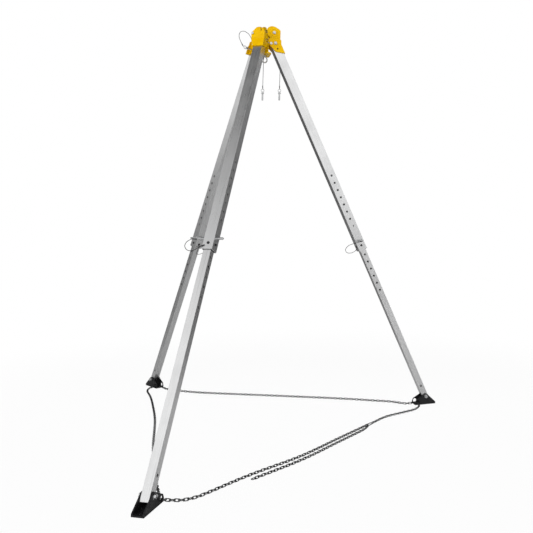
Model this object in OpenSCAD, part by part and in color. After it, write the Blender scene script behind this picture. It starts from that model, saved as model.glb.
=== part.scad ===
// Rescue tripod: a painted head with three U-brackets and two rope sheaves,
// three telescopic legs of square aluminium tube with pin rows, tilting feet,
// lock pins on wire lanyards, and a link chain that ties the feet together.
// Millimetres, +Z up, the feet stand on z = 0.

/* [Legs] */
// Angle of each leg from the vertical when open
leg_angle = 25.3; // [20:0.1:30]
// Outside width of the outer leg tube
outer_w = 54; // [50:0.5:60]
// Wall of the outer leg tube
outer_wall = 3; // [2:0.5:4]
// Length of the outer leg tube
outer_len = 1430; // [1300:5:1500]
// Outside width of the inner leg tube
inner_w = 38; // [34:0.5:40]
// Wall of the inner leg tube
inner_wall = 3; // [2:0.5:4]
// Length of the inner leg tube
inner_len = 1289; // [1150:1:1400]
// Height of the outer tube above its pivot
top_over = 18; // [14:0.5:20]
// Spacing of the pin holes
hole_pitch = 50; // [45:1:55]
// Number of open holes in the outer tube
outer_holes = 8; // [4:1:10]
// Number of pin holes in the inner tube
inner_holes = 8; // [7:1:9]
// Leg pin hole above the outer tube's lower end
pin_up = 67; // [66:1:80]
// First pin hole below the inner tube's top
inner_first = 150; // [120:5:180]
// Foot pivot above the inner tube's lower end
foot_up = 22; // [20:1:26]
// Cross hole above the foot pivot
low_hole_up = 74; // [60:1:90]

/* [Head] */
// Distance of the leg pivots from the tripod's axis
pivot_r = 61; // [59:0.5:64]
// Clear width between the cheeks of a bracket
cheek_gap = 56; // [56:0.5:62]
// Thickness of the bracket cheeks
cheek_t = 5; // [4:0.5:6]
// Thickness of the bracket web that stops the open leg
web_t = 6; // [5:0.5:8]
// Distance from the axis to the flats of the centre post
post_r = 20; // [18:0.5:21]
// Top of the bracket cheeks above the leg pivots
cheek_top = 28; // [26:1:32]
// Bottom of the bracket cheeks below the leg pivots
cheek_low = 55; // [50:1:60]
// Distance of the vertical upper web from the axis
web_r = 98; // [96:0.5:102]
// Outside diameter of the right sheave
sheave_d = 52; // [46:1:56]
// Height of the right sheave's axle above the leg pivots
sheave_up = 80; // [76:1:86]
// Outside diameter of the front sheave
guide_d = 40; // [36:1:42]
// Height of the front sheave's axle above the leg pivots
guide_up = 56; // [55:1:62]
// Width of the sheaves
sheave_w = 18; // [14:0.5:19]
// Distance of the sheave axles behind the upper web's face
sheave_back = 40; // [38:0.5:42]
// Width of the flanges beside the front and back brackets
flange_w = 17; // [15:0.5:20]
// Bottom plate thickness
plate_t = 8; // [6:0.5:10]
// Bottom plate top below the leg pivots
plate_low = 65; // [62:1:70]
// Eye ring inside diameter
eye_d = 32; // [26:1:36]
// Eye ring wire diameter
eye_wire = 8; // [6:0.5:9]

/* [Pins and bolts] */
// Leg pin and pivot bolt diameter
pin_d = 12; // [10:0.5:12]
// Lock pin diameter
lock_d = 10; // [8:0.5:10]
// Lock pin length, from its tip to its ring
lock_len = 56; // [50:1:64]
// Lock pin hole below the leg pivot, along the leg
lock_down = 36; // [32:1:40]
// Bush screw head diameter
screw_d = 14; // [12:0.5:16]
// Wire lanyard diameter
wire_d = 3; // [2:0.1:3]

/* [Feet] */
// Height of the foot pivots above the floor
foot_h = 50; // [46:1:56]
// Thickness of the foot ears
ear_t = 6; // [5:0.5:8]
// Thickness of the foot base plate
base_t = 6; // [5:0.5:8]
// Reach of the foot from its pivot, away from the axis
foot_out = 68; // [60:1:76]
// Reach of the foot from its pivot, towards the axis
foot_in = 76; // [74:1:84]
// Anchor hole diameter in the base plate
anchor_d = 14; // [10:0.5:16]
// Chain hole diameter in the ears
chain_hole = 24; // [22:0.5:25]

/* [Chain] */
// Link wire thickness
link_wire = 4; // [3.5:0.1:4]
// Link spacing
link_pitch = 18; // [18:0.5:20]
// Link outside width
link_w = 15; // [14.5:0.1:15.5]

/* [Hidden] */
$fn = 48;

az_right = 0;
az_back = 120;
az_front = 240;

// Clearances: sliding square fits, bolt bores, and the gap at a leg's stop
slide_gap = 0.2;
bore_gap = 0.1;
stop_gap = 0.4;
pin_gap = 0.5;
face_gap = 0.3;

outer_in = outer_w - 2 * outer_wall;
pin_s = outer_len - top_over - pin_up;
inner_top_s = pin_s - inner_first;
leg_len = inner_top_s + inner_len - foot_up;
pivot_z = foot_h + leg_len * cos(leg_angle);
foot_r = pivot_r + leg_len * sin(leg_angle);
cheek_out = cheek_gap / 2 + cheek_t;
bush_len = pin_up - pin_d / 2 - 1;
screw_up = bush_len / 2 + 2;
slider_len = 40;
plug_len = top_over + lock_down + 26;
ear_gap = inner_w + 4;
foot_w = ear_gap + 2 * ear_t;
chain_in = foot_in - 18;
chain_z = 18;

// The part's origin is the middle of its footprint, so the axis stands off in x
foot_x_max = foot_r + foot_out;
foot_x_min = -(foot_r + foot_out) / 2 - foot_w / 2 * sin(60);
axis_x = -(foot_x_max + foot_x_min) / 2;

yellow = [0.97, 0.76, 0.02];
alloy = [0.80, 0.81, 0.82];
bright = [0.86, 0.87, 0.88];
black = [0.08, 0.08, 0.09];
zinc = [0.45, 0.46, 0.48];

// Frames: the tripod's axis, a leg (z along the tube, x outward), a bracket
// (x radial, z from the pivots) and a foot (x radial, z from the floor)
module on_axis() translate([axis_x, 0, 0]) children();
module at_leg(az) on_axis() rotate([0, 0, az]) translate([pivot_r, 0, pivot_z])
    rotate([0, -leg_angle, 0]) children();
module at_bracket(az) on_axis() rotate([0, 0, az]) translate([0, 0, pivot_z]) children();
module at_foot(az) on_axis() rotate([0, 0, az]) translate([foot_r, 0, 0]) children();

// A plate standing between y0 and y1, cut to an outline in x and z
module slab(y0, y1) translate([0, y1, 0]) rotate([90, 0, 0]) linear_extrude(y1 - y0) children();
// A cylinder along y between y0 and y1
module rod_y(d, y0, y1) translate([0, y1, 0]) rotate([90, 0, 0]) cylinder(d = d, h = y1 - y0);
// A square tube between z0 and z1
module square_tube(w, inside, z0, z1) translate([0, 0, z0]) linear_extrude(z1 - z0) difference() {
    square(w, center = true);
    square(inside, center = true);
}
// A hexagon along y between y0 and y1, w across the flats
module hex_y(w, y0, y1) translate([0, y1, 0]) rotate([90, 0, 0])
    cylinder(d = w / cos(30), h = y1 - y0, $fn = 6);

// Head

// Three-cornered post whose flats carry the brackets
post_top = cheek_top - 4;
module tri(inr, clip) intersection() {
    circle(2 * inr, $fn = 3);
    circle(clip);
}
module hub_post() color(yellow) at_bracket(60) difference() {
    translate([0, 0, -plate_low]) linear_extrude(post_top + plate_low) tri(post_r, 2 * post_r - 3);
    translate([0, 0, -plate_low - 1]) linear_extrude(post_top + plate_low - 4)
        tri(post_r - 5, 2 * post_r - 18);
}
module hub_plate() color(yellow) at_bracket(60) translate([0, 0, -plate_low - plate_t])
    difference() {
        linear_extrude(plate_t) tri(36, 50);
        translate([0, 0, -1]) cylinder(d = pin_d + 2 * bore_gap, h = plate_t + 2);
    }
// Eye bolt: ring, collar under the plate, shank and nut inside the post
eye_ring_r = (eye_d + eye_wire) / 2;
module eye_bolt() color(bright) at_bracket(-70) translate([0, 0, -plate_low - plate_t]) {
    translate([0, 0, -6 - eye_ring_r - eye_wire / 2 + 2]) rotate([0, 90, 0]) rotate_extrude()
        translate([eye_ring_r, 0]) circle(d = eye_wire, $fn = 24);
    translate([0, 0, -6]) cylinder(d = 22, h = 6);
    translate([0, 0, -1]) cylinder(d = pin_d, h = plate_t + 12);
    translate([0, 0, plate_t]) cylinder(d = 20, h = 9, $fn = 6);
}

// Web line: parallel to the open leg below, upright above
function web_in(z) = pivot_r + (outer_w / 2 + stop_gap) / cos(leg_angle) - z * tan(leg_angle);
function web_out(z) = web_in(z) + web_t / cos(leg_angle);
web_bend = (web_out(0) - web_r) / tan(leg_angle);
web_bend_in = (web_in(0) - web_r + web_t) / tan(leg_angle);
sheave_gap = sheave_w + 3;
// Sheave units: middle across the bracket, axle radius, axle height, sheave
// diameter, then the rounded plate's radius and the shift of its middle
unit_right = [(cheek_gap - sheave_gap) / 2, web_r - sheave_back, sheave_up, sheave_d, sheave_d / 2 + 12,
    [-10, 3]];
unit_front = [11, web_r - sheave_back - 2, guide_up, guide_d, guide_d / 2 + 6, [0, 0]];
right_high = sheave_up + 18;
front_high = guide_up + 16;
stud_x = post_r + 14;
stud_z = -4;
stud_d = 8;
web_bolt = [-cheek_out - flange_w / 2, cheek_top + 6];
lock_x = pivot_r + lock_down * sin(leg_angle);
lock_z = -lock_down * cos(leg_angle);

module cheek_outline() difference() {
    polygon([[post_r, -10], [post_r, cheek_top - 4], [post_r + 6, cheek_top],
        [web_r - 6, cheek_top], [web_r, cheek_top - 6], [web_r, web_bend],
        [web_out(-cheek_low), -cheek_low], [pivot_r + 5, -cheek_low + 3]]);
    translate([pivot_r, 0]) circle(d = pin_d + 2 * bore_gap);
    translate([lock_x, lock_z]) circle(d = lock_d + 2 * pin_gap);
    translate([stud_x, stud_z]) circle(d = stud_d);
}
module web_outline(top) polygon([[web_in(-cheek_low), -cheek_low], [web_out(-cheek_low), -cheek_low],
    [web_r, web_bend], [web_r, top], [web_r - web_t, top], [web_r - web_t, web_bend_in]]);
// Plates either side of a sheave, standing on the web
module house_outline(u, high) difference() {
    union() {
        translate([u[1], u[2]] + u[5]) circle(u[4]);
        polygon([[u[1] - u[4] + 8, cheek_top + 6], [web_r, cheek_top + 6], [web_r, high],
            [web_r - 8, high + 8], [u[1] + 4, u[2] + u[5][1] + u[4] - 1]]);
    }
    translate([u[1], u[2]]) circle(d = pin_d + 2 * bore_gap);
    translate([u[1] - u[4] / 2 - 2, u[2] + u[4] * 0.75]) circle(d = 5);
    translate([-200, cheek_top - 94]) square([400, 100]);
}
module house(u, high) for (s = [-1, 1]) let (y = u[0] + s * (sheave_gap + cheek_t) / 2)
    slab(y - cheek_t / 2, y + cheek_t / 2) house_outline(u, high);
// Cuts through the web, drawn across the bracket
module web_cut() translate([web_r - 60, 0, 0]) rotate([90, 0, 90]) linear_extrude(120) children();
module cheeks() for (s = [0, 1]) mirror([0, s, 0]) slab(cheek_gap / 2, cheek_out) cheek_outline();
module web(y0, y1, high) slab(y0, y1) web_outline(high);
edge = cheek_out + flange_w;

module bracket_right() color(yellow) at_bracket(az_right) {
    low = unit_right[0] - sheave_gap / 2 - cheek_t;
    cheeks();
    house(unit_right, right_high);
    difference() {
        web(-cheek_gap / 2, cheek_gap / 2, right_high);
        web_cut() translate([low - 100, cheek_top - 6]) square([100, 200]);
        web_cut() translate([unit_right[0] - 3, sheave_up - 26]) square([6, 100]);
    }
    // the cheek rises into the outer plate
    slab(cheek_gap / 2, cheek_out) polygon([[web_r - 40, cheek_top - 1], [web_r - 6, cheek_top - 1],
        [web_r, cheek_top - 6], [web_r, cheek_top + 7], [web_r - 40, cheek_top + 7]]);
    // ring pressed out of the near plate, round the axle
    translate([unit_right[1], 0, sheave_up]) difference() {
        rod_y(sheave_d - 2, low - 1.5, low + 1);
        rod_y(sheave_d - 12, low - 3, low + 2);
    }
}
// The front web is wider than the leg and cut to a bevelled top
module bracket_front() color(yellow) at_bracket(az_front) {
    cheeks();
    house(unit_front, front_high - 8);
    difference() {
        web(-edge, cheek_out, front_high);
        web_cut() polygon([[-edge - 1, cheek_top + 11], [-edge, cheek_top + 11], [-17, front_high - 2],
            [4, front_high], [22, front_high - 6], [29, front_high - 21], [cheek_out, cheek_top + 14],
            [cheek_out + 1, cheek_top + 14], [cheek_out + 1, front_high + 9], [-edge - 1, front_high + 9]]);
        web_cut() polygon([[-edge - 1, -5], [-edge, -5], [-cheek_out, -cheek_low + 8],
            [-cheek_out, -cheek_low - 9], [-edge - 1, -cheek_low - 9]]);
        web_cut() translate([unit_front[0] - 2.5, front_high - 26]) square([5, 60]);
        web_cut() translate(web_bolt) circle(d = stud_d);
    }
}
module bracket_back() color(yellow) at_bracket(az_back) {
    cheeks();
    difference() {
        web(-cheek_gap / 2, edge, cheek_top - 6);
        web_cut() polygon([[cheek_out + 4, cheek_top], [edge + 1, cheek_top], [edge + 1, -flange_w]]);
    }
}

// Leg pivot bolt: hexagon head and washer one side, nut the other
module leg_bolt(az) at_bracket(az) translate([pivot_r, 0, 0]) {
    rod_y(pin_d, -cheek_out - 12, cheek_out + 1);
    rod_y(20, -cheek_out - 2, -cheek_out);
    hex_y(16, -cheek_out - 10, -cheek_out - 2);
    rod_y(20, cheek_out, cheek_out + 2);
    hex_y(16, cheek_out + 2, cheek_out + 12);
}
module leg_bolt_front() color(bright) leg_bolt(az_front);
module leg_bolt_right() color(bright) leg_bolt(az_right);
module leg_bolt_back() color(bright) leg_bolt(az_back);

// Sheave axle with its two spacers, and the grooved sheave
module sheave_axle(az, u) at_bracket(az) translate([u[1], u[0], u[2]]) {
    out = sheave_gap / 2 + cheek_t;
    rod_y(pin_d, -out - 1, out + 1);
    for (s = [0, 1]) mirror([0, s, 0]) {
        rod_y(20, sheave_w / 2 + face_gap, sheave_gap / 2);
        rod_y(20, out, out + 2);
    }
    hex_y(16, -out - 9, -out - 2);
    hex_y(16, out + 2, out + 10);
}
module sheave_axle_front() color(bright) sheave_axle(az_front, unit_front);
module sheave_axle_right() color(bright) sheave_axle(az_right, unit_right);
module sheave(az, u) at_bracket(az) translate([u[1], u[0], u[2]]) rotate([90, 0, 0])
    rotate_extrude() difference() {
        translate([pin_d / 2 + bore_gap, -sheave_w / 2]) square([(u[3] - pin_d) / 2 - bore_gap, sheave_w]);
        translate([u[3] / 2 + 1, 0]) circle(d = sheave_w - 5, $fn = 32);
    }
module sheave_front() color(zinc) sheave(az_front, unit_front);
module sheave_right() color(zinc) sheave(az_right, unit_right);

// Button heads on the cheeks, and the bolt in the front web
module head_screws() color(bright) {
    for (az = [az_right, az_back, az_front], s = [0, 1]) at_bracket(az) mirror([0, s, 0])
        translate([stud_x, 0, stud_z]) {
            rod_y(stud_d - 2 * bore_gap, cheek_gap / 2, cheek_out + 1);
            rod_y(16, cheek_out, cheek_out + 5);
        }
    at_bracket(az_front) translate([web_r, web_bolt[0], web_bolt[1]]) rotate([0, 90, 0]) {
        cylinder(d = 15, h = 5);
        translate([0, 0, -web_t]) cylinder(d = stud_d - 2 * bore_gap, h = web_t + 1);
    }
}

// Lock pin: a rod with a tapered tip, a collar and a ring for its lanyard
module lock_pin() {
    cylinder(d1 = lock_d - 3, d2 = lock_d, h = 3);
    translate([0, 0, 2.9]) cylinder(d = lock_d, h = lock_len - 2.9);
    translate([0, 0, lock_len - 12]) cylinder(d = lock_d + 8, h = 4);
    translate([0, 0, lock_len + 7]) rotate([0, 90, 0]) rotate_extrude()
        translate([9, 0]) circle(d = 3, $fn = 16);
}
// The back bracket's pin stands in one cheek only, clear of the leg
lock_tip = cheek_gap / 2 + 0.5;
module lock_pin_back() color(bright) at_bracket(az_back) translate([lock_x, lock_tip, lock_z])
    rotate([-90, 0, 0]) lock_pin();
// The other two hang from the ends of their wires
hang_front = [0, 26, 1992.3];
hang_right = [108, 38, 2006.3];
module hang_pin_front() color(bright) on_axis() translate(hang_front - [0, 0, lock_len + 16])
    rotate([0, 0, 70]) lock_pin();
module hang_pin_right() color(bright) on_axis() translate(hang_right - [0, 0, lock_len + 16])
    rotate([0, 0, 70]) lock_pin();

// Lanyards: a round wire swept along a smooth line through its route's points
function rout(p, i) = p[max(0, min(len(p) - 1, i))];
function spline(p, n) = [for (i = [0 : len(p) - 2], k = [0 : n - 1])
    let (t = k / n, a = i == 0 ? 2 * p[0] - p[1] : p[i - 1], b = p[i], c = p[i + 1],
        d = i == len(p) - 2 ? 2 * p[i + 1] - p[i] : p[i + 2])
    0.5 * (2 * b + (c - a) * t + (2 * a - 5 * b + 4 * c - d) * t * t
        + (3 * b - a - 3 * c + d) * t * t * t), p[len(p) - 1]];
function unit(v) = v / norm(v);
function way(q, i) = unit(rout(q, i + 1) - rout(q, i - 1));
// side vectors carried along the line without twist
function sides(q, i = 0, u = undef) = i == len(q) ? [] :
    let (t = way(q, i), g = u == undef ? (abs(t[2]) < 0.9 ? [0, 0, 1] : [1, 0, 0]) : u,
        v = unit(g - t * (g * t)))
    concat([v], sides(q, i + 1, v));
module wire(p, n, d, m = 8) {
    q = spline(p, n);
    us = sides(q);
    last = len(q) - 1;
    polyhedron([for (i = [0 : last], j = [0 : m - 1]) let (u = us[i], w = cross(way(q, i), u))
            q[i] + d / 2 * (cos(360 * j / m) * u + sin(360 * j / m) * w)],
        concat([[for (j = [0 : m - 1]) m - 1 - j], [for (j = [0 : m - 1]) last * m + j]],
            [for (i = [0 : last - 1], j = [0 : m - 1], h = [0, 1]) let (k = (j + 1) % m)
                h == 0 ? [i * m + j, i * m + k, (i + 1) * m + k]
                    : [i * m + j, (i + 1) * m + k, (i + 1) * m + j]]));
}
// Routes: head wires from the tripod's axis and the back bracket, leg wires on the legs
route_hang_front = [[0, 26, 2202], [0, 26, 2150], [0, 26, 2070], [0, 26, 1994]];
route_hang_right = [[108, 35, 2244], [108, 37, 2226], [108, 38, 2200], [108, 38, 2100], [108, 38, 2008]];
route_lock_back = [[76, 104, -31], [77, 124, -6], [78, 138, 26], [78, 128, 56], [77, 96, 68],
    [76, 62, 56], [76, 44, 32], [76, 35, 12]];
route_leg_right = [[0, -78, -1350.8], [-34, -70, -1346], [-84, -52, -1342], [-112, -40, -1358],
    [-108, -34, -1382], [-80, -28, -1396], [-48, -20, -1396], [-28.8, -12, -1390]];
route_leg_back = [[0, -78, -1350.8], [-30, -76, -1362], [-62, -52, -1390], [-74, -8, -1424],
    [-64, 24, -1432], [-46, 10, -1408], [-28.8, -12, -1390]];
route_leg_front = [[0, -78, -1350.8], [10, -80, -1353], [16, -98, -1358], [18, -118, -1374], [18, -122, -1396],
    [18, -106, -1416], [20, -80, -1422], [26, -54, -1414], [31, -34, -1403], [28.8, -14, -1392]];
module head_wire_front() color(zinc) on_axis() wire(route_hang_front, 2, wire_d);
module head_wire_right() color(zinc) on_axis() wire(route_hang_right, 2, wire_d);
module head_wire_back() color(zinc) at_bracket(az_back) wire(route_lock_back, 2, wire_d);
module leg_wire_front() color(zinc) at_leg(az_front) wire(route_leg_front, 2, wire_d);
module leg_wire_right() color(zinc) at_leg(az_right) wire(route_leg_right, 2, wire_d);
module leg_wire_back() color(zinc) at_leg(az_back) wire(route_leg_back, 2, wire_d);

// Legs

module outer_tube(az) at_leg(az) difference() {
    square_tube(outer_w, outer_in, top_over - outer_len, top_over);
    for (d = [[0, pin_d + 2 * bore_gap], [-lock_down, lock_d + 2 * pin_gap], [-pin_s, pin_d + 2 * pin_gap]])
        translate([0, 0, d[0]]) rod_y(d[1], -outer_w, outer_w);
    for (i = [0 : outer_holes - 1]) translate([0, 0, -pin_s + (i + 2) * hole_pitch])
        rod_y(pin_d + 2 * pin_gap, -outer_w, outer_w);
    bush_holes();
}
module bush_holes() translate([0, 0, top_over - outer_len + screw_up]) for (a = [0, 90]) rotate([0, 0, a])
    rod_y(6, -outer_w, outer_w);
module outer_tube_front() color(alloy) outer_tube(az_front);
module outer_tube_right() color(alloy) outer_tube(az_right);
module outer_tube_back() color(alloy) outer_tube(az_back);

// Block in the top of the outer tube, bored for the pivot and the lock pin
module top_plug(az) at_leg(az) difference() {
    translate([0, 0, top_over - plug_len / 2]) cube([outer_in, outer_in, plug_len], center = true);
    rod_y(pin_d + 2 * bore_gap, -outer_w, outer_w);
    translate([0, 0, -lock_down]) rod_y(lock_d + 2 * pin_gap, -outer_w, outer_w);
}
module top_plug_front() color(alloy) top_plug(az_front);
module top_plug_right() color(alloy) top_plug(az_right);
module top_plug_back() color(alloy) top_plug(az_back);

// Bush in the lower end of the outer tube that guides the inner tube
module guide_bush(az) at_leg(az) difference() {
    square_tube(outer_in, inner_w + 2 * slide_gap, top_over - outer_len, top_over - outer_len + bush_len);
    bush_holes();
}
module guide_bush_front() color(black) guide_bush(az_front);
module guide_bush_right() color(black) guide_bush(az_right);
module guide_bush_back() color(black) guide_bush(az_back);

// One button screw in each face of the outer tube's end
module bush_screws(az) at_leg(az) translate([0, 0, top_over - outer_len + screw_up])
    for (a = [0 : 90 : 270]) rotate([0, 0, a]) {
        rod_y(screw_d, outer_w / 2, outer_w / 2 + 2);
        rod_y(screw_d - 4, outer_w / 2 + 1, outer_w / 2 + 4);
        rod_y(6 - 2 * bore_gap, inner_w / 2 + slide_gap + 0.5, outer_w / 2 + 1);
    }
module bush_screws_front() color(black) bush_screws(az_front);
module bush_screws_right() color(black) bush_screws(az_right);
module bush_screws_back() color(black) bush_screws(az_back);

module inner_tube(az) at_leg(az) translate([0, 0, -inner_top_s]) difference() {
    square_tube(inner_w, inner_w - 2 * inner_wall, -inner_len, 0);
    for (i = [0 : inner_holes - 1]) translate([0, 0, -inner_first - i * hole_pitch])
        rod_y(pin_d + 2 * pin_gap, -outer_w, outer_w);
    translate([0, 0, foot_up - inner_len]) rod_y(pin_d + 2 * bore_gap, -outer_w, outer_w);
    translate([0, 0, foot_up + low_hole_up - inner_len]) rod_y(pin_d, -outer_w, outer_w);
}
module inner_tube_front() color(alloy) inner_tube(az_front);
module inner_tube_right() color(alloy) inner_tube(az_right);
module inner_tube_back() color(alloy) inner_tube(az_back);

// Sleeve on the inner tube's top that runs in the outer tube
module slider(az) at_leg(az)
    square_tube(outer_in - 2 * slide_gap, inner_w, -inner_top_s - slider_len, -inner_top_s);
module slider_front() color(black) slider(az_front);
module slider_right() color(black) slider(az_right);
module slider_back() color(black) slider(az_back);

// Leg pin: tapered tip, collar against the tube, turned handle with a ring
tip_out = 34;
handle_len = 42;
module leg_pin(az) at_leg(az) translate([0, 0, -pin_s]) {
    rod_y(pin_d, -outer_w / 2 - handle_len, outer_w / 2 + tip_out - 4);
    translate([0, outer_w / 2 + tip_out - 4, 0]) rotate([-90, 0, 0])
        cylinder(d1 = pin_d, d2 = pin_d - 5, h = 4);
    rod_y(20, -outer_w / 2 - 5, -outer_w / 2);
    rod_y(16, -outer_w / 2 - handle_len, -outer_w / 2 - handle_len + 16);
    translate([0, -outer_w / 2 - handle_len - 9, 0]) rotate([0, 90, 0]) rotate_extrude()
        translate([9, 0]) circle(d = 3, $fn = 16);
}
module leg_pin_front() color(bright) leg_pin(az_front);
module leg_pin_right() color(bright) leg_pin(az_right);
module leg_pin_back() color(bright) leg_pin(az_back);

// Feet

module ear_outline() difference() {
    union() {
        polygon([[-foot_in, 0], [foot_out, 0], [foot_out, base_t + 6], [12, foot_h + 12], [-12, foot_h + 12],
            [-foot_in + 24, foot_h - 10], [-foot_in + 8, chain_z + 14], [-foot_in, chain_z - 4]]);
        translate([0, foot_h]) circle(17);
    }
    translate([0, foot_h]) circle(d = pin_d + 2 * bore_gap);
    translate([-chain_in, chain_z]) circle(d = chain_hole);
}
module foot(az) at_foot(az) {
    for (s = [0, 1]) mirror([0, s, 0]) slab(ear_gap / 2, foot_w / 2) ear_outline();
    difference() {
        translate([-foot_in, -ear_gap / 2, 0]) cube([foot_in + foot_out, ear_gap, base_t]);
        translate([foot_out - 18, 0, -1]) cylinder(d = anchor_d, h = base_t + 2);
        translate([-chain_in + chain_hole / 2 + 14, 0, -1]) cylinder(d = anchor_d, h = base_t + 2);
    }
}
module foot_front() color(black) foot(az_front);
module foot_right() color(black) foot(az_right);
module foot_back() color(black) foot(az_back);

module foot_bolt(az) at_foot(az) translate([0, 0, foot_h]) {
    rod_y(pin_d, -foot_w / 2 - 9, foot_w / 2 + 12);
    rod_y(22, -foot_w / 2 - 2, -foot_w / 2);
    hex_y(18, -foot_w / 2 - 9, -foot_w / 2 - 2);
    rod_y(22, foot_w / 2, foot_w / 2 + 2);
    hex_y(18, foot_w / 2 + 2, foot_w / 2 + 11);
}
module foot_bolt_front() color(bright) foot_bolt(az_front);
module foot_bolt_right() color(bright) foot_bolt(az_right);
module foot_bolt_back() color(bright) foot_bolt(az_back);

// Chain: links laid end to end by length along a route, every other one on edge

link_gap = 2.4;
module oval(half, r) {
    square([2 * half, 2 * r], center = true);
    for (s = [-1, 1]) translate([s * half, 0]) circle(r, $fn = 24);
}
module link(inner, w, t) {
    half = inner / 2 - (w / 2 - t);
    translate([0, 0, -t / 2]) linear_extrude(t) difference() {
        oval(half, w / 2);
        oval(half, w / 2 - t);
    }
}
// running length at each point of a line, and the point at a given length
function lengths(q, i = 0, sum = 0) = i == len(q) ? [] :
    let (s = i == 0 ? 0 : sum + norm(q[i] - q[i - 1])) concat([s], lengths(q, i + 1, s));
function find(ls, s, lo, hi) = hi - lo < 2 ? lo :
    let (m = floor((lo + hi) / 2)) ls[m] > s ? find(ls, s, lo, m) : find(ls, s, m, hi);
function point_at(q, ls, s) = let (i = find(ls, s, 0, len(ls) - 1))
    q[i] + (q[i + 1] - q[i]) * (s - ls[i]) / (ls[i + 1] - ls[i]);
// odd chooses an odd or an even number of links, so that stretches join flat to edge
module chain(p, odd = 0) {
    q = spline(p, 12);
    ls = lengths(q);
    total = ls[len(ls) - 1];
    count = 2 * round((total / link_pitch - odd) / 2) + odd;
    step = total / count;
    for (i = [0 : count - 1]) {
        a = point_at(q, ls, i * step);
        b = point_at(q, ls, (i + 1) * step);
        d = unit(b - a);
        translate((a + b) / 2) rotate([0, -asin(d[2]), atan2(d[1], d[0])]) rotate([(i + 1) % 2 * 90, 0, 0])
            link(link_pitch + link_gap, link_w, link_wire);
    }
}
// Routes on the floor, and through the ears of the feet, measured from the axis:
// u is the distance inside a foot's chain holes, y the distance along their line
foot_az = [az_right, az_back, az_front];
chain_rest = chain_z - chain_hole / 2 + link_w / 2 + 0.35;
function near(k, u, y, z = chain_rest) = let (r = foot_r - chain_in - u, a = foot_az[k])
    [r * cos(a) - y * sin(a), r * sin(a) + y * cos(a), z];
route_back = [near(0, 3.7, -14), near(0, 24, -14), near(0, 48, -10, 11.5), near(0, 84, 8, 8.5), [908, 70, 8],
    [811, 126, 8], [622, 232, 8], [330, 376, 8], [30, 520, 8], [-171, 616, 8], [-300, 686, 8],
    near(1, 190, -28, 8), near(1, 120, -4, 8), near(1, 70, 0, 9.5), near(1, 40, -1, 12), near(1, 20, -1),
    near(1, 3.7, -1)];
route_left = [near(2, 3.4, -1), near(2, 24, -5), near(2, 50, -16, 11.6), near(2, 84, -38, 8.8),
    near(2, 120, -64, 8), [-531, -640, 8], [-541, -450, 8], [-545, -250, 8], [-542, 130, 8],
    [-558, 440, 8], [-576, 650, 8], near(1, 80, 126, 8), near(1, 34, 100, 9.5),
    near(1, 11, 72, 12.4), near(1, 1.5, 42), near(1, 0, 20), near(1, 0, -10)];
route_front = [[597.5, -316, 8], [500, -385, 8], [360, -484, 8], [129, -648, 8], [-131, -786, 8],
    near(2, 104, 172, 8), near(2, 56, 142, 8), near(2, 18, 105, 11), near(2, 2, 56), near(2, 0, 24),
    near(2, 0, -10)];
route_tail = [[602, -323, 8], [587, -347, 8], [562, -374, 8], [526, -404, 8], [360, -524, 8],
    [129, -690, 8], [-131, -836, 8]];
route_close = [[637, -293, 8], [660, -276, 8], [760, -208, 8], [900, -160, 8], [975, -134, 8],
    [1020, -104, 10], [1046, -66, 12], near(0, 0, -24), near(0, 0, -10)];
module chain_back() color(zinc) on_axis() chain(route_back, 1);
module chain_left() color(zinc) on_axis() chain(route_left);
module chain_front() color(zinc) on_axis() chain(route_front);
module chain_tail() color(zinc) on_axis() chain(route_tail);
module chain_close() color(zinc) on_axis() chain(route_close);
// Closing ring that joins the front stretches
module chain_ring() color(zinc) on_axis() translate([617, -307, 8]) rotate([0, 0, 36])
    link(48, 24, 5);

hub_post();
hub_plate();
eye_bolt();
bracket_front();
bracket_right();
bracket_back();
leg_bolt_front();
leg_bolt_right();
leg_bolt_back();
sheave_axle_front();
sheave_axle_right();
sheave_front();
sheave_right();
head_screws();
lock_pin_back();
hang_pin_front();
hang_pin_right();
head_wire_front();
head_wire_right();
head_wire_back();
outer_tube_front();
outer_tube_right();
outer_tube_back();
top_plug_front();
top_plug_right();
top_plug_back();
guide_bush_front();
guide_bush_right();
guide_bush_back();
bush_screws_front();
bush_screws_right();
bush_screws_back();
inner_tube_front();
inner_tube_right();
inner_tube_back();
slider_front();
slider_right();
slider_back();
leg_pin_front();
leg_pin_right();
leg_pin_back();
leg_wire_front();
leg_wire_right();
leg_wire_back();
foot_front();
foot_right();
foot_back();
foot_bolt_front();
foot_bolt_right();
foot_bolt_back();
chain_back();
chain_left();
chain_front();
chain_tail();
chain_close();
chain_ring();
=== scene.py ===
"""Looks of the rescue tripod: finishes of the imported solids, the link chain,
the wire lanyards with their ferrules, and the stage. Metres, +Z up."""
import math

import bpy
import numpy as np
from mathutils import Matrix, Vector


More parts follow.
